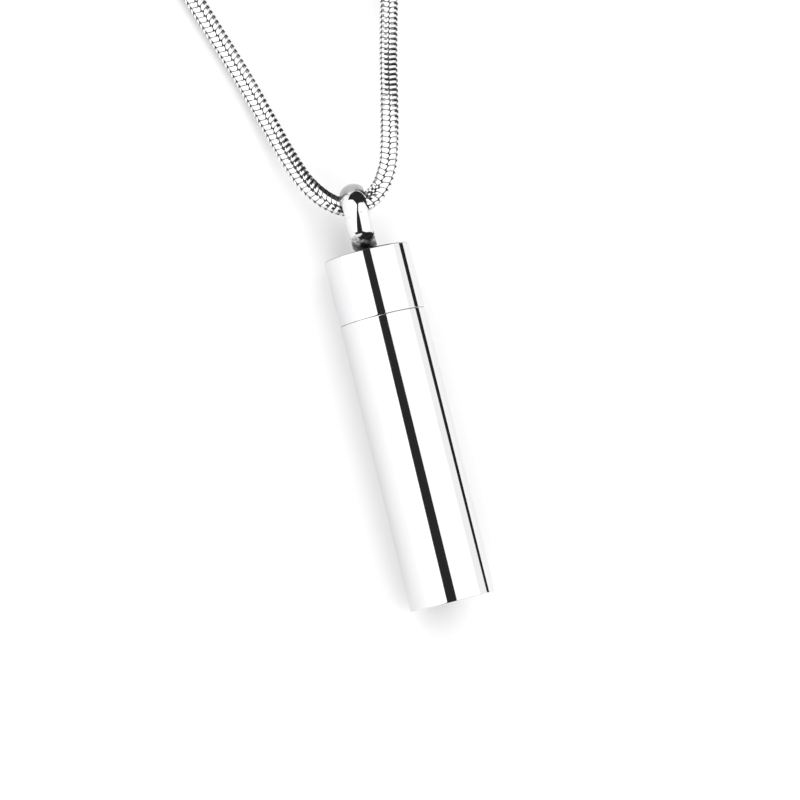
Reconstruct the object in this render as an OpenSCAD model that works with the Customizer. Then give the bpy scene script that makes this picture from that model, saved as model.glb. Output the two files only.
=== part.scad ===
/* [Urn tube] */
// Outside diameter of the tube and of the cap
tube_d = 9.5; // [9:0.1:11]
// Length of the tube from its foot to the seam
tube_l = 31.85; // [24:0.05:45]
// Thickness of the closed foot
foot_t = 1.5; // [1:0.1:3]
// Diameter of the drilled chamber
chamber_d = 6.6; // [6:0.1:7]
// Diameter of the mouth that takes the plug
mouth_d = 7.3; // [7.3:0.1:7.8]
// Depth of the mouth
mouth_depth = 6.2; // [6:0.1:8]

/* [Screw cap] */
// Height of the cap from the seam to its flat top
cap_h = 7.3; // [5:0.1:10]
// Gap at the seam between the cap and the tube
seam_gap = 0.05; // [0.05:0.05:0.2]
// Diameter over the crests of the plug's thread
plug_d = 7.1; // [6.8:0.05:7.1]
// Length of the plug below the seam
plug_l = 5.2; // [4:0.1:5.5]
// Distance from crest to crest of the thread
thread_pitch = 0.8; // [0.6:0.1:1]
// Depth of the thread
thread_depth = 0.35; // [0.2:0.05:0.4]
// Bevel on the outer edges of the tube and the cap
edge_bevel = 0.05; // [0.05:0.05:0.3]

/* [Bail] */
// Outside diameter of the ring
bail_d = 7.8; // [7.5:0.1:8.5]
// Width of the ring along its hole
bail_w = 2.7; // [2:0.1:3]
// Thickness of the ring at the middle of its band
bail_t = 1.05; // [0.9:0.05:1.1]
// Depth that the solder takes up at the ring's foot
bail_sink = 0.05; // [0.05:0.05:0.2]
// Turn of the ring about the tube's axis as the pendant lies
bail_roll = 20; // [10:1:25]
// Diameter of the bead of solder round the ring's foot
solder_d = 2.9; // [2.8:0.1:3.4]

/* [Snake chain] */
// Diameter of the chain
chain_d = 2.1; // [2:0.05:2.15]

/* [Barrel clasp] */
// Diameter of the clasp
clasp_d = 3.4; // [3:0.1:3.4]
// Length of the clasp between the two ends of the chain
clasp_l = 11.8; // [10:0.1:11.8]
// Width of the grooves turned in the barrel
clasp_groove = 0.4; // [0.2:0.1:0.6]

/* [Hidden] */
tube_r = tube_d / 2;
mouth_r = mouth_d / 2;
chamber_r = chamber_d / 2;
pendant_l = tube_l + seam_gap + cap_h;
// Curvature of the band's domed outer face, a little wider than the band
dome_r = 1.65;
// Bevel on the band's inner edges, where the chain bends over them
bail_bevel = 0.35;
// How far the bead of solder rises, and how much it narrows on the way
solder_h = 0.25;
solder_taper = 0.5;
// Taper at the plug's end, and the radius of the plug between the crests
plug_lead = 0.4;
plug_core = plug_d / 2 - thread_depth;
// One crest of the thread, as shares of the pitch: where it rises, its flat, and its foot
crest_start = 0.3;
crest_end = 0.5;
crest_foot = 0.8;
thread_turns = 5;
// Length of the rounded-off nose at each end of the clasp
clasp_nose = 0.9;
smooth = 96;

// Route of the chain's centre, as distances across the pendant, along its axis beyond the
// cap's flat top, and above the surface. The first list runs from the ring down the left leg
left_leg = [
    [-2.3, 6.3, 3.9], [-4.1, 8.8, 3], [-5.2, 12.2, 2.2], [-6.2, 16.4, 1.5],
    [-7.8, 22.2, 1.1], [-10.5, 30, 1.05], [-14.2, 40.5, 1.05]
];
// The ring's own crossing, and the right leg, which arches higher before it comes down
in_ring = [0, 5.2, tube_r];
right_leg = [
    [2.5, 6.1, 5.4], [4.3, 8.4, 5.7], [5.6, 11.8, 5.4], [7, 16.2, 4.6],
    [8.9, 22, 3.2], [11.6, 30, 1.9], [15.1, 40.5, 1.1]
];
// The rest of the right half, up to the clasp. The left half mirrors it
far_half = [
    [19.5, 54, 1.05], [24.6, 67.5, 1.05], [29.9, 81.5, 1.05], [35.1, 95.7, 1.05], [40, 110.2, 1.05],
    [44.2, 125, 1.05], [47.2, 140.5, 1.05], [48.6, 156, 1.05], [48.1, 171.5, 1.05], [44.9, 187, 1.05],
    [39, 200.7, 1.05], [30.2, 212, 1.1], [19, 219.1, 1.3], [6, 221.5, clasp_d / 2]
];
clasp_at = far_half[len(far_half) - 1];
loop_top = clasp_at[1] + clasp_d / 2;
// The whole necklace is centred on the origin, with the cap's flat top this far along it
cap_top_y = (pendant_l - loop_top) / 2;

function mirrored(p) = [-p[0], p[1], p[2]];
function backwards(list) = [for (i = [len(list) - 1:-1:0]) list[i]];
route = concat(
    [for (p = backwards(far_half)) mirrored(p)], backwards(left_leg), [in_ring], right_leg, far_half
);
// One more point past each end gives the spline its direction at the clasp
guide = concat([clasp_at], route, [mirrored(clasp_at)]);
steps = 2;

// Catmull-Rom spline through b and c, kept off the surface by the chain's own radius
function spline(a, b, c, d, t) =
    (2 * b + (c - a) * t + (2 * a - 5 * b + 4 * c - d) * t * t + (3 * b - a - 3 * c + d) * t * t * t) / 2;
function on_surface(p) = [p[0], p[1] + cap_top_y, max(p[2], chain_d / 2)];
centres = concat(
    [for (i = [1:len(guide) - 3], k = [0:steps - 1])
        on_surface(spline(guide[i - 1], guide[i], guide[i + 1], guide[i + 2], k / steps))],
    [on_surface(clasp_at)]
);

// The chain's tube has eight sides, level with the surface at each ring
sides = 8;
function unit(v) = v / norm(v);
function heading(i) = i == 0 || i == len(centres) - 1
    ? [-1, 0, 0]
    : unit(centres[i + 1] - centres[i - 1]);
function level(i) = unit(cross([0, 0, 1], heading(i)));
function chain_ring(i) = [
    for (k = [0:sides - 1])
        centres[i] + chain_d / 2 * (cos(360 * k / sides) * level(i)
            + sin(360 * k / sides) * cross(heading(i), level(i)))
];

// Turns a shape drawn upright on the Z axis to point along the pendant, with its foot at y
module along_pendant(y) {
    translate([0, y, tube_r]) rotate([-90, 0, 0]) children();
}

// A turned tube with a closed flat foot, the chamber drilled from the mouth and the
// mouth opened to the plug's size
module urn_tube() color([0.80, 0.80, 0.82]) {
    chamber_top = tube_l - mouth_depth;
    along_pendant(cap_top_y - pendant_l) rotate_extrude($fn = smooth) polygon([
        [0, 0], [tube_r - edge_bevel, 0], [tube_r, edge_bevel],
        [tube_r, tube_l - edge_bevel], [tube_r - edge_bevel, tube_l],
        [mouth_r + edge_bevel, tube_l], [mouth_r, tube_l - edge_bevel],
        [mouth_r, chamber_top], [chamber_r, chamber_top],
        [chamber_r, foot_t], [0, foot_t]
    ]);
}

// The solid cap and its plug as one turned piece, with the thread's crests as rings
module cap_and_plug() {
    thread_top = plug_l - plug_lead;
    along_pendant(cap_top_y - cap_h) rotate_extrude($fn = smooth) polygon(concat(
        [[0, cap_h], [0, -plug_l], [plug_core - plug_lead, -plug_l], [plug_core, -thread_top]],
        [for (i = [0:thread_turns - 1], corner = [
                [plug_core, 0], [plug_d / 2, crest_start], [plug_d / 2, crest_end],
                [plug_core, crest_foot]
            ])
            [corner[0], (i + corner[1]) * thread_pitch - thread_top]],
        [[plug_core, 0], [tube_r - edge_bevel, 0], [tube_r, edge_bevel],
            [tube_r, cap_h - edge_bevel], [tube_r - edge_bevel, cap_h]]
    ));
}

// The band of the ring, domed outside and bevelled where it meets the hole
module band_section() {
    inner = bail_d / 2 - bail_t;
    intersection() {
        translate([bail_d / 2 - dome_r, 0]) circle(dome_r, $fn = 64);
        polygon([
            [inner, bail_bevel - bail_w / 2], [inner + bail_bevel, -bail_w / 2],
            [bail_d, -bail_w / 2], [bail_d, bail_w / 2],
            [inner + bail_bevel, bail_w / 2], [inner, bail_w / 2 - bail_bevel]
        ]);
    }
}

// The ring stands on the flat top, with its hole across the pendant
module bail() {
    translate([0, cap_top_y + bail_d / 2 - bail_sink, tube_r]) rotate([0, -bail_roll, 0])
        rotate([0, 90, 0]) rotate_extrude($fn = smooth) band_section();
}

// A low cone of solder round the ring's foot
module solder() {
    along_pendant(cap_top_y - solder_h)
        cylinder(h = 2 * solder_h, d1 = solder_d + solder_taper, d2 = solder_d - solder_taper, $fn = 48);
}

module cap_with_bail() color([0.80, 0.80, 0.82]) union() {
    cap_and_plug();
    bail();
    solder();
}

// The chain as a swept tube, from one end of the clasp round through the ring to the other
module snake_chain() color([0.66, 0.66, 0.68]) {
    last = len(centres) - 1;
    polyhedron(
        points = [for (i = [0:last]) each chain_ring(i)],
        faces = concat(
            [[for (k = [0:sides - 1]) k]],
            [for (i = [0:last - 1], k = [0:sides - 1]) let (n = (k + 1) % sides)
                [i * sides + k, (i + 1) * sides + k, (i + 1) * sides + n, i * sides + n]],
            [[for (k = [sides - 1:-1:0]) last * sides + k]]
        )
    );
}

// A plain barrel with rounded-off noses and two turned grooves, lying between the chain's ends
module barrel_clasp() color([0.80, 0.80, 0.82]) {
    r = clasp_d / 2;
    nose_r = chain_d / 2;
    groove = clasp_groove / 2;
    waist = clasp_l / 4;
    translate([-clasp_l / 2, clasp_at[1] + cap_top_y, clasp_at[2]]) rotate([0, 90, 0])
        rotate_extrude($fn = 64) polygon([
            [0, 0], [nose_r, 0], [r, clasp_nose],
            [r, waist - groove], [r - groove, waist], [r, waist + groove],
            [r, clasp_l - waist - groove], [r - groove, clasp_l - waist], [r, clasp_l - waist + groove],
            [r, clasp_l - clasp_nose], [nose_r, clasp_l], [0, clasp_l]
        ]);
}

urn_tube();
cap_with_bail();
snake_chain();
barrel_clasp();
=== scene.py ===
from bisect import bisect_right
from math import atan2, cos, degrees, hypot, pi, radians, sin

import bmesh
import bpy
from mathutils import Matrix, Vector


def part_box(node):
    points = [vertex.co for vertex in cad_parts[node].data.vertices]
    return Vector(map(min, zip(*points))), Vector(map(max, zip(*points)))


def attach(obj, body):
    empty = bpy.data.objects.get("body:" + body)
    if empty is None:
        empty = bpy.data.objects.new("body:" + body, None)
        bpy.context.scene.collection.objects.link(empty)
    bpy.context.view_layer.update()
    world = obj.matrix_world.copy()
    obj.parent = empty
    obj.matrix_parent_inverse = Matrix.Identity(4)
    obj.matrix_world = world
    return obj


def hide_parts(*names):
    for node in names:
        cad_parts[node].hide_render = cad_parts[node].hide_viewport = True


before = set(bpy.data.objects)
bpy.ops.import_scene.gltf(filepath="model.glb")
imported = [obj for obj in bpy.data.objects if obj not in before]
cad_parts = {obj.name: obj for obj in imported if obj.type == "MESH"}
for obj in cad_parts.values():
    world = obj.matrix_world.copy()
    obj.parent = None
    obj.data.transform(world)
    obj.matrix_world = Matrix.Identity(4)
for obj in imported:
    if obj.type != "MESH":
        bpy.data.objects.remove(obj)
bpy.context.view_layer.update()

# Camera.
# It looks down at the pendant from 366 mm, 20 degrees round the tube to the left of the vertical
# and almost level with the foot, and is rolled so that the pendant leans to the left.
MM = 0.001
tube_low, tube_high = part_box("urn_tube")
tube_r = (tube_high.x - tube_low.x) / 2
foot_y, seam_y = tube_low.y, tube_high.y
cap_h = 7.3 * MM
seam_gap = 0.05 * MM
cap_top_y = seam_y + seam_gap + cap_h
camera_lean = radians(20)
camera_distance = 366 * MM
camera_beyond_cap = -36 * MM
aim_across, aim_beyond_cap = -0.3 * MM, -16.525 * MM
picture_roll = radians(13.93)
picture_side = 800
pixels_per_mm = 9.166
film_mm = 36
nearest_seen, farthest_seen = 0.01, 50

across = Vector((cos(camera_lean), 0, sin(camera_lean)))
to_camera = Vector((-sin(camera_lean), 0, cos(camera_lean)))
cap_top = Vector((0, cap_top_y, tube_r))
eye = cap_top + camera_distance * to_camera + Vector((0, camera_beyond_cap, 0))
aim = cap_top + aim_across * across + Vector((0, aim_beyond_cap, 0))
sight = (aim - eye).normalized()
upright = (Vector((0, 1, 0)) - sight * sight.y).normalized()
rightward = sight.cross(upright)
rolled_up = sin(picture_roll) * rightward + cos(picture_roll) * upright
rolled_right = cos(picture_roll) * rightward - sin(picture_roll) * upright

camera_data = bpy.data.cameras.new("camera")
camera_data.sensor_width = film_mm
camera_data.lens = film_mm * pixels_per_mm * (aim - eye).length / MM / picture_side
camera_data.clip_start, camera_data.clip_end = nearest_seen, farthest_seen
camera = bpy.data.objects.new("camera", camera_data)
camera.matrix_world = Matrix.Translation(eye) @ Matrix(
    (rolled_right, rolled_up, -sight)).transposed().to_4x4()
bpy.context.scene.collection.objects.link(camera)
bpy.context.scene.camera = camera


# Urn tube.
# The keepsake goes in this tube of stainless steel. It is turned from a bar, drilled from its
# mouth, threaded inside for the cap's plug and polished all over to a mirror.
tube_steps = 192
weld = 0.0005 * MM
edge_round = 0.05 * MM
edge_arc_steps = 4
edge_hold = 0.06 * MM
seam_close = 0.011 * MM
foot_t = 1.5 * MM
chamber_r = 3.3 * MM
mouth_r = 3.95 * MM
mouth_crest_r = 3.65 * MM
mouth_depth = 6.2 * MM
mouth_chamfer = 2 * edge_round
drill_point = 0.5 * MM
thread_pitch = 0.8 * MM
thread_half_root = 0.375 * thread_pitch
thread_half_crest = 0.125 * thread_pitch
thread_steps = 96
thread_sunk = 0.03 * MM
thread_relief = 0.5 * MM
mirror_steel = (0.70, 0.70, 0.71, 1)
bored_steel = (0.50, 0.50, 0.51, 1)
polished_along, turned_round = 12, 1 / 16
line_scale, smear_scale, wave_scale, blotch_scale = 6000, 320, 500, 1500
line_range = (0.62, 0.8)
smear_range = (0.35, 0.75)
smear_dulling = 2.2
smear_darkening = 0.97
ripple_depth = 0.001
dark_end_range = (0.62, 0.88)
dark_end_reach = 0.55
dark_end_dulling = 0.22


def arc(centre, radius, start, end, steps):
    """Points of an arc as (distance from the axis, place along it), angles in degrees."""
    turns = [radians(start + (end - start) * i / steps) for i in range(steps + 1)]
    return [(centre[0] + radius * cos(a), centre[1] + radius * sin(a)) for a in turns]


def outer_edge(end_y, inward):
    """The rounded outer edge at an end of the turned bar, between two loops that keep its sides flat."""
    round_r = tube_r - edge_round
    y = end_y + inward * edge_round
    return [
        (round_r - edge_hold, end_y), *arc((round_r, y), edge_round, -90 * inward, 0, edge_arc_steps),
        (tube_r, y + inward * edge_hold),
    ]


def lathe(outline, steps=tube_steps):
    """Spins an outline of (distance from the axis, place along it) about the pendant's axis."""
    bm = bmesh.new()
    points = [bm.verts.new((r, y, tube_r)) for r, y in outline]
    edges = [bm.edges.new(pair) for pair in zip(points, points[1:])]
    bmesh.ops.spin(
        bm, geom=points + edges, cent=(0, 0, tube_r), axis=(0, 1, 0), dvec=(0, 0, 0),
        angle=2 * pi, steps=steps, use_merge=True, use_duplicate=False,
    )
    bmesh.ops.remove_doubles(bm, verts=bm.verts, dist=weld)
    bmesh.ops.recalc_face_normals(bm, faces=bm.faces)
    return bm


def thread_ridge(root_r, crest_r, start_y, end_y):
    """A thread's ridge, wound right-handed about the pendant's axis, fading out over half a turn."""
    turns = (end_y - start_y) / thread_pitch
    steps = round(turns * thread_steps)
    section = [
        (root_r, -thread_half_root), (crest_r, -thread_half_crest),
        (crest_r, thread_half_crest), (root_r, thread_half_root),
    ]
    bm = bmesh.new()
    corners = [bm.verts.new((r, start_y + y, tube_r)) for r, y in section]
    sides = [bm.edges.new((a, b)) for a, b in zip(corners, corners[1:] + corners[:1])]
    bmesh.ops.spin(
        bm, geom=corners + sides, cent=(0, 0, tube_r), axis=(0, 1, 0),
        dvec=(0, (end_y - start_y) / steps, 0), angle=2 * pi * turns, steps=steps,
        use_merge=False, use_duplicate=False,
    )
    for index, vert in enumerate(bm.verts):
        step = index // len(section)
        height = min(1, min(step, steps - step) / (thread_steps / 2))
        r = hypot(vert.co.x, vert.co.z - tube_r)
        faded = (root_r + (r - root_r) * height) / r
        vert.co = (vert.co.x * faded, vert.co.y, tube_r + (vert.co.z - tube_r) * faded)
    bmesh.ops.holes_fill(bm, edges=[e for e in bm.edges if e.is_boundary], sides=len(section))
    bmesh.ops.recalc_face_normals(bm, faces=bm.faces)
    return bm


def finished(bm, name, body, slot, *nodes, sharp=35):
    """Turns a bmesh into a smooth piece that rides on its body and stands for its CAD nodes.

    Edges where the surface turns by more than sharp degrees stay crisp.
    """
    for face in bm.faces:
        face.smooth = True
    for edge in bm.edges:
        if len(edge.link_faces) == 2 and edge.calc_face_angle(0) > radians(sharp):
            edge.smooth = False
    mesh = bpy.data.meshes.new(name)
    bm.to_mesh(mesh)
    bm.free()
    piece = bpy.data.objects.new(name, mesh)
    bpy.context.scene.collection.objects.link(piece)
    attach(piece, body)
    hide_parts(*nodes)
    return piece


def node_tree(name):
    """A new material with its shader, its links and a short way to add nodes to it."""
    material = bpy.data.materials.new(name)
    material.use_nodes = True
    tree = material.node_tree

    def add(kind, inputs=(), **settings):
        node = tree.nodes.new(kind)
        for key, value in settings.items():
            setattr(node, key, value)
        for socket, value in dict(inputs).items():
            if isinstance(value, bpy.types.NodeSocket):
                tree.links.new(value, node.inputs[socket])
            else:
                node.inputs[socket].default_value = value
        return node

    return material, tree.nodes["Principled BSDF"], tree.links, add


def polished_steel(name, colour, along, roughness, ripple, dark_end=None):
    """Mirror steel with fine polishing lines, faint smears and the slightest waviness.

    along stretches the pattern along the pendant's axis, so that its lines run that way. The last
    argument is a colour, the place along the axis where it darkens the steel in blotches, and the
    place where the darkening has gone.
    """
    material, shader, links, add = node_tree(name)
    place = add("ShaderNodeTexCoord").outputs["Object"]
    stretched = add("ShaderNodeMapping", {"Vector": place, "Scale": (1, 1 / along, 1)}).outputs[0]
    lines = add("ShaderNodeTexNoise", {
        "Vector": stretched, "Scale": line_scale, "Detail": 3, "Roughness": 0.6}).outputs["Fac"]
    smears = add("ShaderNodeTexNoise", {
        "Vector": place, "Scale": smear_scale, "Detail": 4, "Roughness": 0.55}).outputs["Fac"]
    waves = add("ShaderNodeTexNoise", {
        "Vector": stretched, "Scale": wave_scale, "Detail": 1, "Roughness": 0.4}).outputs["Fac"]
    gloss = add("ShaderNodeMapRange", {
        "Value": smears, "From Min": smear_range[0], "From Max": smear_range[1],
        "To Min": roughness, "To Max": roughness * smear_dulling}).outputs[0]
    scratched = add("ShaderNodeMapRange", {
        "Value": lines, "From Min": line_range[0], "From Max": line_range[1],
        "To Min": 0, "To Max": roughness}).outputs[0]
    rough = add("ShaderNodeMath", {0: gloss, 1: scratched}, operation="ADD").outputs[0]
    tint = add("ShaderNodeMix", {
        "Factor": smears, "A": colour, "B": (*[c * smear_darkening for c in colour[:3]], 1)},
        data_type="RGBA").outputs["Result"]
    if dark_end:
        dull, full_y, clear_y = dark_end
        height = add("ShaderNodeSeparateXYZ", {"Vector": place}).outputs["Y"]
        reach = add("ShaderNodeMapRange", {
            "Value": height, "From Min": full_y, "From Max": clear_y,
            "To Min": dark_end_reach, "To Max": 0}).outputs[0]
        blotches = add("ShaderNodeTexNoise", {
            "Vector": place, "Scale": blotch_scale, "Detail": 4, "Roughness": 0.6}).outputs["Fac"]
        spread = add("ShaderNodeMath", {0: reach, 1: blotches}, operation="ADD").outputs[0]
        cover = add("ShaderNodeMapRange", {
            "Value": spread, "From Min": dark_end_range[0], "From Max": dark_end_range[1]}).outputs[0]
        rough = add("ShaderNodeMath", {0: cover, 1: dark_end_dulling, 2: rough},
                    operation="MULTIPLY_ADD").outputs[0]
        tint = add("ShaderNodeMix", {"Factor": cover, "A": tint, "B": dull},
                   data_type="RGBA").outputs["Result"]
    links.new(rough, shader.inputs["Roughness"])
    links.new(tint, shader.inputs["Base Color"])
    relief = add("ShaderNodeMath", {0: waves, 1: ripple}, operation="MULTIPLY").outputs[0]
    bump = add("ShaderNodeBump", {"Height": relief, "Distance": ripple_depth, "Strength": 1})
    links.new(bump.outputs[0], shader.inputs["Normal"])
    shader.inputs["Metallic"].default_value = 1
    return material


mouth_y = seam_y + seam_close
chamber_end = seam_y - mouth_depth
tube_outline = [
    (0, foot_y), *outer_edge(foot_y, 1), *outer_edge(mouth_y, -1)[::-1],
    (mouth_r + mouth_chamfer, mouth_y), (mouth_r, mouth_y - mouth_chamfer),
    (mouth_r, chamber_end), (chamber_r, chamber_end),
    (chamber_r, foot_y + foot_t + drill_point), (0, foot_y + foot_t),
]
tube = finished(lathe(tube_outline), "tube_shell", "tube", "polished_steel", "urn_tube")
for steel in [
    polished_steel("mirror_steel_tube", mirror_steel, polished_along, roughness=0.03, ripple=0.002),
    polished_steel("bored_steel_tube", bored_steel, turned_round, roughness=0.16, ripple=0.02),
]:
    tube.data.materials.append(steel)
for face in tube.data.polygons:
    in_bore = hypot(face.center.x, face.center.z - tube_r) < mouth_r + mouth_chamfer
    face.material_index = int(in_bore and face.center.y > foot_y + foot_t / 2)
mouth_thread = finished(
    thread_ridge(mouth_r + thread_sunk, mouth_crest_r, chamber_end + thread_relief,
                 mouth_y - thread_relief),
    "mouth_thread", "tube", "polished_steel", "urn_tube", sharp=20)
mouth_thread.data.materials.append(tube.data.materials[1])


# Screw cap.
# It is turned from the same bar as the tube, with a solid head and a plug below the seam. The
# thread is cut in the plug, so that the cap screws into the tube's mouth.
plug_r = 3.55 * MM
plug_l = 5.2 * MM
plug_core_r = 3.2 * MM
plug_lead = 0.4 * MM
cap_chamfer_in, cap_chamfer_down = 0.09 * MM, 0.115 * MM
turned_steel = (0.62, 0.62, 0.63, 1)
# Painted shade: the chamfer round the cap's flat top gets a darker copy of the steel, standing for the
# reflection of the shadowed floor
chamfer_painted_shade = (0.42, 0.42, 0.43, 1)
cap_foot_y = cap_top_y - cap_h - seam_close
plug_end_y = seam_y + seam_gap - plug_l
cap_outline = [
    (0, plug_end_y), (plug_core_r - plug_lead, plug_end_y), (plug_core_r, plug_end_y + plug_lead),
    (plug_core_r, cap_foot_y), *outer_edge(cap_foot_y, 1),
    (tube_r, cap_top_y - cap_chamfer_down), (tube_r - cap_chamfer_in, cap_top_y), (0, cap_top_y),
]
cap = finished(lathe(cap_outline), "screw_cap", "necklace", "polished_steel", "cap_with_bail")
for steel in [
    polished_steel("mirror_steel_cap", mirror_steel, polished_along, roughness=0.03, ripple=0.002),
    polished_steel("turned_steel_plug", turned_steel, turned_round, roughness=0.12, ripple=0.01),
    polished_steel("turned_steel_chamfer_painted_shade", chamfer_painted_shade, turned_round, roughness=0.12, ripple=0.002),
]:
    cap.data.materials.append(steel)
for face in cap.data.polygons:
    on_chamfer = cap_top_y - cap_chamfer_down < face.center.y < cap_top_y - cap_chamfer_down / 4
    face.material_index = 2 if on_chamfer else int(face.center.y < cap_foot_y - seam_gap / 4)
plug_thread = finished(
    thread_ridge(plug_core_r - thread_sunk, plug_r, plug_end_y + plug_lead + thread_pitch / 2,
                 cap_foot_y - thread_relief),
    "plug_thread", "necklace", "polished_steel", "cap_with_bail", sharp=20)
plug_thread.data.materials.append(cap.data.materials[1])


# Bail.
# The ring that the chain runs through is bent from D-section steel wire, domed outside and flat
# inside, and stands upright on the cap's flat top. Its crown is rougher than its sides and is
# painted darker, as painted shade for the shadowed floor and chain that it mirrors.
bail_r = 3.9 * MM
bail_t = 1.05 * MM
bail_half_w = 1.35 * MM
bail_sink = 0.05 * MM
bail_dome_r = 1.65 * MM
bail_inner_bevel = 0.35 * MM
bail_steps = 160
bail_dome_steps = 20
bail_twist = radians(4)
bail_roll = camera_lean
bail_inner_steel = (0.60, 0.60, 0.61, 1)
# Painted shade: the crown's darker steel stands for the reflection of the shadowed floor and chain
bail_crown_painted_shade = (0.40, 0.40, 0.40, 1)
bail_crown_turn = radians(45)
# Near its foot on the cap the ring is darkened nearly to black in blotches, fading out 2.2 mm up
bail_dark_end = (0.07, 0.07, 0.07, 1)
bail_dark_end_h = 2.2 * MM
bail_centre = Vector((0, cap_top_y + bail_r - bail_sink, tube_r))

inner_r = bail_r - bail_t
dome_end = degrees(atan2(bail_half_w, inner_r + bail_inner_bevel - (bail_r - bail_dome_r)))
bail_section = [
    *arc((bail_r - bail_dome_r, 0), bail_dome_r, -dome_end, dome_end, bail_dome_steps),
    (inner_r, bail_half_w - bail_inner_bevel), (inner_r, bail_inner_bevel - bail_half_w),
]
bm = bmesh.new()
corners = [bm.verts.new(bail_centre + Vector((w, r, 0))) for r, w in bail_section]
band_middle = bail_centre + Vector((0, bail_r - bail_t / 2, 0))
bmesh.ops.rotate(bm, cent=band_middle, matrix=Matrix.Rotation(bail_twist, 3, "Z"), verts=corners)
sides = [bm.edges.new((a, b)) for a, b in zip(corners, corners[1:] + corners[:1])]
bmesh.ops.spin(
    bm, geom=corners + sides, cent=bail_centre, axis=(1, 0, 0), dvec=(0, 0, 0),
    angle=2 * pi, steps=bail_steps, use_merge=True, use_duplicate=False,
)
bmesh.ops.remove_doubles(bm, verts=bm.verts, dist=weld)
for face in bm.faces:
    middle = face.calc_center_median() - bail_centre
    distance = hypot(middle.y, middle.z)
    on_crown = middle.y > distance * sin(bail_crown_turn)
    face.material_index = 1 if distance < inner_r + bail_inner_bevel / 4 else 2 * int(on_crown)
bmesh.ops.rotate(bm, cent=bail_centre, matrix=Matrix.Rotation(-bail_roll, 3, "Y"), verts=bm.verts)
bmesh.ops.recalc_face_normals(bm, faces=bm.faces)
bail = finished(bm, "bail_ring", "necklace", "polished_steel", "cap_with_bail")
dark_end = (bail_dark_end, cap_top_y, cap_top_y + bail_dark_end_h)
for steel in [
    polished_steel("mirror_steel_bail", mirror_steel, 1, roughness=0.04, ripple=0.004, dark_end=dark_end),
    polished_steel("inner_steel_bail", bail_inner_steel, 1, roughness=0.10, ripple=0.01, dark_end=dark_end),
    polished_steel("crown_painted_shade_bail", bail_crown_painted_shade, 1, roughness=0.12, ripple=0.01),
]:
    bail.data.materials.append(steel)


# Solder.
# The ring is fixed to the cap with silver solder, which creeps up its foot as a low bead and is
# left a little duller and yellower than the polished steel.
solder_r = 1.45 * MM
solder_h = 0.25 * MM
solder_foot_r, solder_top_r = 1.15 * solder_r, 0.86 * solder_r
solder_sunk = 0.02 * MM
solder_rim_h = 0.06 * MM
solder_steps = 64
solder_steel = (0.42, 0.41, 0.39, 1)
bead_outline = [
    (0, cap_top_y - solder_sunk), (solder_foot_r, cap_top_y - solder_sunk),
    (solder_r, cap_top_y + solder_rim_h), (solder_top_r, cap_top_y + solder_h), (0, cap_top_y + solder_h),
]
bead = lathe(bead_outline, solder_steps)
solder = finished(bead, "solder_bead", "necklace", "polished_steel", "cap_with_bail")
solder.data.materials.append(
    polished_steel("soldered_steel", solder_steel, 1, roughness=0.22, ripple=0.05))


# Snake chain.
# Round links of steel, six lobes round each and wavy along their edges, are pushed into each
# other to a flexible tube. The joints between them hold dirt and polish and look dark.
chain_r = 1.05 * MM
link_pitch = 0.63 * MM
lobes = 6
lobe_half = radians(18)
groove_share = 0.90
joint_share = 0.96
wave = 0.13 * MM
spline_steps = 24
groove_turn_right = radians(75)
groove_turn_left = radians(45)
turning_reach = 8 * MM

# The route's points are those of the chain's solid: distances in mm across the pendant, beyond
# the cap's flat top and above the surface
left_leg = [
    (-2.3, 6.3, 3.9), (-4.1, 8.8, 3), (-5.2, 12.2, 2.2), (-6.2, 16.4, 1.5),
    (-7.8, 22.2, 1.1), (-10.5, 30, 1.05), (-14.2, 40.5, 1.05),
]
in_ring = (0, 5.2, 4.75)
right_leg = [
    (2.5, 6.1, 5.4), (4.3, 8.4, 5.7), (5.6, 11.8, 5.4), (7, 16.2, 4.6),
    (8.9, 22, 3.2), (11.6, 30, 1.9), (15.1, 40.5, 1.1),
]
far_half = [
    (19.5, 54, 1.05), (24.6, 67.5, 1.05), (29.9, 81.5, 1.05), (35.1, 95.7, 1.05), (40, 110.2, 1.05),
    (44.2, 125, 1.05), (47.2, 140.5, 1.05), (48.6, 156, 1.05), (48.1, 171.5, 1.05), (44.9, 187, 1.05),
    (39, 200.7, 1.05), (30.2, 212, 1.1), (19, 219.1, 1.3), (6, 221.5, 1.7),
]


def mirrored(points):
    """The same points on the pendant's other side."""
    return [(-x, y, z) for x, y, z in points]


route = mirrored(far_half[::-1]) + left_leg[::-1] + [in_ring] + right_leg + far_half
guide = [far_half[-1]] + route + mirrored(far_half[-1:])
guide = [Vector((x, y, z)) * MM + Vector((0, cap_top_y, 0)) for x, y, z in guide]


def spline_point(a, b, c, d, t):
    """A point of the Catmull-Rom spline between b and c, kept off the surface."""
    point = (2 * b + (c - a) * t + (2 * a - 5 * b + 4 * c - d) * t ** 2
             + (3 * b - a - 3 * c + d) * t ** 3) / 2
    point.z = max(point.z, chain_r)
    return point


path = [
    spline_point(*guide[i - 1:i + 3], k / spline_steps)
    for i in range(1, len(guide) - 2) for k in range(spline_steps)
] + [guide[-2]]
travelled = [0]
for a, b in zip(path, path[1:]):
    travelled.append(travelled[-1] + (b - a).length)
chain_length = travelled[-1]
headings = [
    (path[min(i + 1, len(path) - 1)] - path[max(i - 1, 0)]).normalized() for i in range(len(path))
]
ring_at = travelled[(len(far_half) + len(left_leg)) * spline_steps]
turning_start, turning_end = ring_at - turning_reach, ring_at + turning_reach


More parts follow.
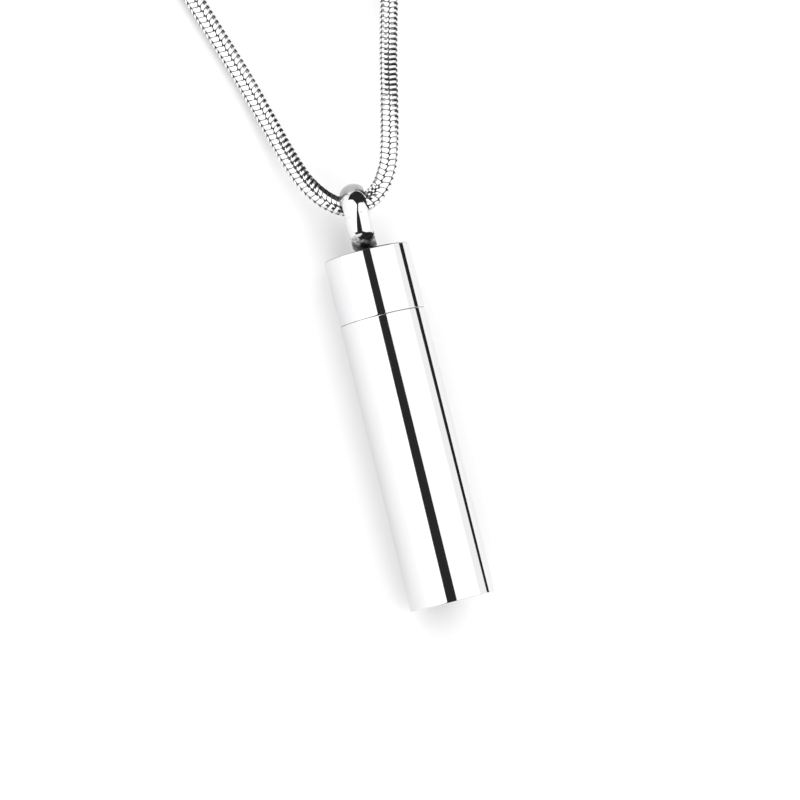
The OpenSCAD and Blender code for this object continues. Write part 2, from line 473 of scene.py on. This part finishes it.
def along_route(distance):
    """The route's point there, with its heading, its level side and its upper side."""
    i = min(max(bisect_right(travelled, distance) - 1, 0), len(path) - 2)
    t = (distance - travelled[i]) / (travelled[i + 1] - travelled[i])
    point = path[i].lerp(path[i + 1], t)
    heading = headings[i].lerp(headings[i + 1], min(max(t, 0), 1)).normalized()
    side = Vector((0, 0, 1)).cross(heading).normalized()
    return point, side, heading.cross(side)


def groove_turn(distance):
    """How far the links are turned there, eased from the left leg's turn to the right leg's."""
    t = min(max((distance - turning_start) / (turning_end - turning_start), 0), 1)
    ease = t * t * (3 - 2 * t)
    return groove_turn_left + (groove_turn_right - groove_turn_left) * ease


def turn_of(vert):
    """The angle of a vertex round the link."""
    return atan2(vert.co.y, vert.co.x) % (2 * pi)


def only_verts(geometry):
    """The vertices among an operator's results."""
    return [e for e in geometry if isinstance(e, bmesh.types.BMVert)]


link_count = round(chain_length / link_pitch)
pitch = chain_length / link_count
bm = bmesh.new()
joint = bm.verts.layers.float.new("joint")
lobe_turn = 2 * pi / lobes
lobe_middle = lobe_turn / 2
lobe_corners = [
    (0, groove_share), (lobe_middle - lobe_half, 1), (lobe_middle, 1), (lobe_middle + lobe_half, 1),
]
columns = [(i * lobe_turn + turn, share) for i in range(lobes) for turn, share in lobe_corners]
circle = bmesh.ops.create_circle(bm, cap_ends=False, segments=len(columns), radius=chain_r)
edge_verts = circle["verts"]
ring_edges = list(bm.edges)
# A link has three rounds of points: its two edges, which are a little narrower, and its middle
for place, share in [(-0.5, joint_share), (0, 1), (0.5, joint_share)]:
    if place > -0.5:
        made = bmesh.ops.extrude_edge_only(bm, edges=ring_edges)["geom"]
        edge_verts = only_verts(made)
        ring_edges = [e for e in made if isinstance(e, bmesh.types.BMEdge)
                      and e.verts[0] in edge_verts and e.verts[1] in edge_verts]
    for vert, (turn, lobe_share) in zip(sorted(edge_verts, key=turn_of), columns):
        radius = chain_r * share * lobe_share
        vert.co = (radius * cos(turn), radius * sin(turn), place * pitch - wave * cos(lobes / 2 * turn))
        vert[joint] = 1 if lobe_share < 1 or share < 1 else 0
bmesh.ops.holes_fill(bm, edges=[e for e in bm.edges if e.is_boundary], sides=len(columns))
bmesh.ops.recalc_face_normals(bm, faces=bm.faces)
link = list(bm.verts) + list(bm.edges) + list(bm.faces)
for i in range(1, link_count):
    made = bmesh.ops.duplicate(bm, geom=link)["geom"]
    bmesh.ops.translate(bm, vec=(0, 0, (i + 0.5) * pitch), verts=only_verts(made))
bmesh.ops.translate(bm, vec=(0, 0, 0.5 * pitch), verts=only_verts(link))
for vert in bm.verts:
    point, side, up = along_route(vert.co.z)
    turn = groove_turn(vert.co.z)
    local = Matrix.Rotation(turn, 2) @ vert.co.xy
    vert.co = point + side * local.x + up * local.y
chain = finished(bm, "chain_links", "necklace", "chain_steel", "snake_chain", sharp=12)

chain_colour = (0.78, 0.78, 0.79, 1)
joint_colour = (0.03, 0.03, 0.032, 1)
joint_edge = (0.76, 0.95)
grime_scale, grime_spread = 2600, 0.25
link_rough, joint_rough = 0.10, 0.45
material, shader, links, add = node_tree("linked_steel")
in_joint = add("ShaderNodeAttribute", attribute_name="joint").outputs["Fac"]
place = add("ShaderNodeTexCoord").outputs["Object"]
grime = add("ShaderNodeTexNoise", {"Vector": place, "Scale": grime_scale, "Detail": 3}).outputs["Fac"]
uneven = add("ShaderNodeMath", {0: grime, 1: grime_spread, 2: -grime_spread / 2},
             operation="MULTIPLY_ADD").outputs[0]
reach = add("ShaderNodeMath", {0: in_joint, 1: uneven}, operation="ADD").outputs[0]
dark = add("ShaderNodeMapRange", {
    "Value": reach, "From Min": joint_edge[0], "From Max": joint_edge[1]},
    interpolation_type="SMOOTHSTEP").outputs[0]
tint = add("ShaderNodeMix", {"Factor": dark, "A": chain_colour, "B": joint_colour}, data_type="RGBA")
links.new(tint.outputs["Result"], shader.inputs["Base Color"])
rough = add("ShaderNodeMapRange", {"Value": dark, "To Min": link_rough, "To Max": joint_rough}).outputs[0]
links.new(rough, shader.inputs["Roughness"])
shader.inputs["Metallic"].default_value = 1
chain.data.materials.append(material)


# Barrel clasp.
# A plain turned barrel of the same steel joins the chain's two ends behind the neck. Two fine
# grooves mark the collars that the chain's ends are pressed into.
clasp_r = 1.7 * MM
clasp_l = 11.8 * MM
clasp_nose = 0.9 * MM
clasp_groove = 0.4 * MM
clasp_steps = 96
clasp_low, clasp_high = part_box("barrel_clasp")
clasp_centre = (clasp_low + clasp_high) / 2
waist = clasp_l / 4
half_groove = clasp_groove / 2
nose_turns = [radians(a) for a in range(15, 91, 15)]
clasp_outline = [
    (0, -clasp_l / 2), (chain_r, -clasp_l / 2),
    *[(chain_r + (clasp_r - chain_r) * sin(a), -clasp_l / 2 + clasp_nose * (1 - cos(a)))
      for a in nose_turns],
    (clasp_r, -waist - half_groove), (clasp_r - half_groove, -waist), (clasp_r, -waist + half_groove),
]
clasp_outline += [(r, -x) for r, x in clasp_outline[::-1]]
bm = bmesh.new()
points = [bm.verts.new(clasp_centre + Vector((x, 0, r))) for r, x in clasp_outline]
edges = [bm.edges.new(pair) for pair in zip(points, points[1:])]
bmesh.ops.spin(
    bm, geom=points + edges, cent=clasp_centre, axis=(1, 0, 0), dvec=(0, 0, 0),
    angle=2 * pi, steps=clasp_steps, use_merge=True, use_duplicate=False,
)
bmesh.ops.remove_doubles(bm, verts=bm.verts, dist=weld)
bmesh.ops.recalc_face_normals(bm, faces=bm.faces)
clasp = finished(bm, "clasp_barrel", "necklace", "polished_steel", "barrel_clasp")
clasp.data.materials.append(
    polished_steel("mirror_steel_clasp", mirror_steel, 1, roughness=0.05, ripple=0.004))


# Studio.
# The pendant lies on a pale floor between two soft boxes, with a smaller one low on the right. The
# gap between the boxes, where the camera stands, stays dark, and so does the room past their ends.
floor_size = 12
floor_colour = (0.75, 0.75, 0.75, 1)
glow_start, glow_full, floor_glow = 0.35, 0.8, 0.8
panel_beyond_foot = 0.02
panel_corner_steps = 6
fill_width, fill_depth = 1.6, 0.5


def stage_piece(name, bm, material):
    """A piece of the studio, which is no part of the pendant."""
    mesh = bpy.data.meshes.new(name)
    bm.to_mesh(mesh)
    bm.free()
    mesh.materials.append(material)
    piece = bpy.data.objects.new(name, mesh)
    bpy.context.scene.collection.objects.link(piece)
    return piece


bm = bmesh.new()
bmesh.ops.create_grid(bm, x_segments=1, y_segments=1, size=floor_size / 2)
material, shader, links, add = node_tree("floor_paper")
shader.inputs["Base Color"].default_value = floor_colour
shader.inputs["Roughness"].default_value = 0.5
# Far from the pendant the paper is lit from below, so that it stays pale to the room's wall
place = add("ShaderNodeTexCoord").outputs["Object"]
away = add("ShaderNodeVectorMath", {0: place}, operation="LENGTH").outputs["Value"]
lit = add("ShaderNodeMapRange", {
    "Value": away, "From Min": glow_start, "From Max": glow_full,
    "To Min": 0, "To Max": floor_glow}).outputs[0]
links.new(lit, shader.inputs["Emission Strength"])
shader.inputs["Emission Color"].default_value = (1, 1, 1, 1)
stage_piece("floor", bm, material)


def glow(name, strength):
    """A material that shines evenly."""
    material = bpy.data.materials.new(name)
    material.use_nodes = True
    nodes = material.node_tree.nodes
    nodes.clear()
    shine = nodes.new("ShaderNodeEmission")
    shine.inputs["Strength"].default_value = strength
    end = nodes.new("ShaderNodeOutputMaterial")
    material.node_tree.links.new(shine.outputs[0], end.inputs["Surface"])
    return material


def panel(name, strength, angle, distance, corner, outline):
    """A lit panel that faces the pendant from an angle off the vertical, to the right.

    The outline's points are metres across and along the panel, from the spot that faces the
    pendant a little beyond its foot. corner is the radius of its rounded corners.
    """
    bm = bmesh.new()
    points = [bm.verts.new((x, y, 0)) for x, y in outline]
    bmesh.ops.contextual_create(bm, geom=points)
    bmesh.ops.bevel(bm, geom=list(bm.verts), affect="VERTICES", offset=corner,
                    segments=panel_corner_steps, profile=0.5, material=-1)
    bmesh.ops.transform(bm, verts=bm.verts, matrix=(
        Matrix.Translation((0, foot_y + panel_beyond_foot, tube_r))
        @ Matrix.Rotation(radians(angle), 4, "Y") @ Matrix.Translation((0, 0, distance))))
    piece = stage_piece(name, bm, glow(name + "_light", strength))
    piece.visible_camera = piece.visible_shadow = False
    return piece


panel("left_box", strength=1.75, angle=-47, distance=0.5, corner=0.06, outline=[
    (-0.46, -0.44), (-0.14, -0.44), (0.47, 0.58), (0.17, 0.9), (-0.46, 0.9)])
panel("right_box", strength=1.5, angle=12, distance=0.5, corner=0.03, outline=[
    (-0.22, -0.575), (0.595, -0.575), (0.595, 0.46), (0.0, 0.46), (-0.175, 0.22)])
panel("right_wing", strength=1.26, angle=75, distance=0.5, corner=0.01, outline=[
    (-0.115, -0.38), (0.13, -0.3), (0.13, -0.072), (-0.115, 0.39)])


def fill_light(name, strength, lean, heading, distance):
    """A soft light that brightens the floor's shadows and doesn't show in the steel.

    lean is its angle off the vertical, and heading turns it from the front towards the right.
    """
    bm = bmesh.new()
    bmesh.ops.create_grid(bm, x_segments=1, y_segments=1, size=0.5)
    bmesh.ops.scale(bm, vec=(fill_width, fill_depth, 1), verts=bm.verts)
    bmesh.ops.transform(bm, verts=bm.verts, matrix=(
        Matrix.Translation((0, foot_y, 0)) @ Matrix.Rotation(radians(heading), 4, "Z")
        @ Matrix.Rotation(radians(lean), 4, "X") @ Matrix.Translation((0, 0, distance))))
    fill = stage_piece(name, bm, glow(name + "_light", strength))
    fill.visible_camera = fill.visible_glossy = fill.visible_shadow = False


fill_light("front_fill", strength=1.9, lean=55, heading=-30, distance=0.7)
fill_light("left_fill", strength=2.0, lean=62, heading=-130, distance=0.8)
fill_light("back_fill", strength=2.6, lean=58, heading=160, distance=0.8)

# A black card on the floor, right of the pendant, is seen by the steel only and gives the dark
# line along the tube's right side
flag_across, flag_before_foot, flag_h, flag_glow = 0.056, 0.012, 0.0003, 0.02
flag_low = Vector((flag_across, foot_y - flag_before_foot, flag_h))
flag_high = Vector((floor_size / 2, floor_size / 2, flag_h))
bm = bmesh.new()
bmesh.ops.create_grid(bm, x_segments=1, y_segments=1, size=0.5)
bmesh.ops.scale(bm, vec=flag_high - flag_low + Vector((0, 0, 1)), verts=bm.verts)
bmesh.ops.translate(bm, vec=(flag_low + flag_high) / 2, verts=bm.verts)
flag = stage_piece("flag", bm, glow("flag_black", flag_glow))
flag.visible_camera = flag.visible_diffuse = flag.visible_shadow = False

# A round wall closes the view from the sides. The steel doesn't see it
wall_distance, wall_height, wall_steps, wall_glow = 5.5, 2.0, 64, 0.95
bm = bmesh.new()
bmesh.ops.create_cone(bm, cap_ends=False, segments=wall_steps, radius1=wall_distance,
                      radius2=wall_distance, depth=wall_height)
bmesh.ops.translate(bm, vec=(0, 0, wall_height / 2), verts=bm.verts)
wall = stage_piece("wall", bm, glow("wall_light", wall_glow))
wall.visible_glossy = False

room_light = 0.03
world = bpy.data.worlds.new("room")
world.use_nodes = True
world.node_tree.nodes["Background"].inputs["Color"].default_value = (1, 1, 1, 1)
world.node_tree.nodes["Background"].inputs["Strength"].default_value = room_light
bpy.context.scene.world = world
bpy.context.scene.view_settings.view_transform = "Standard"
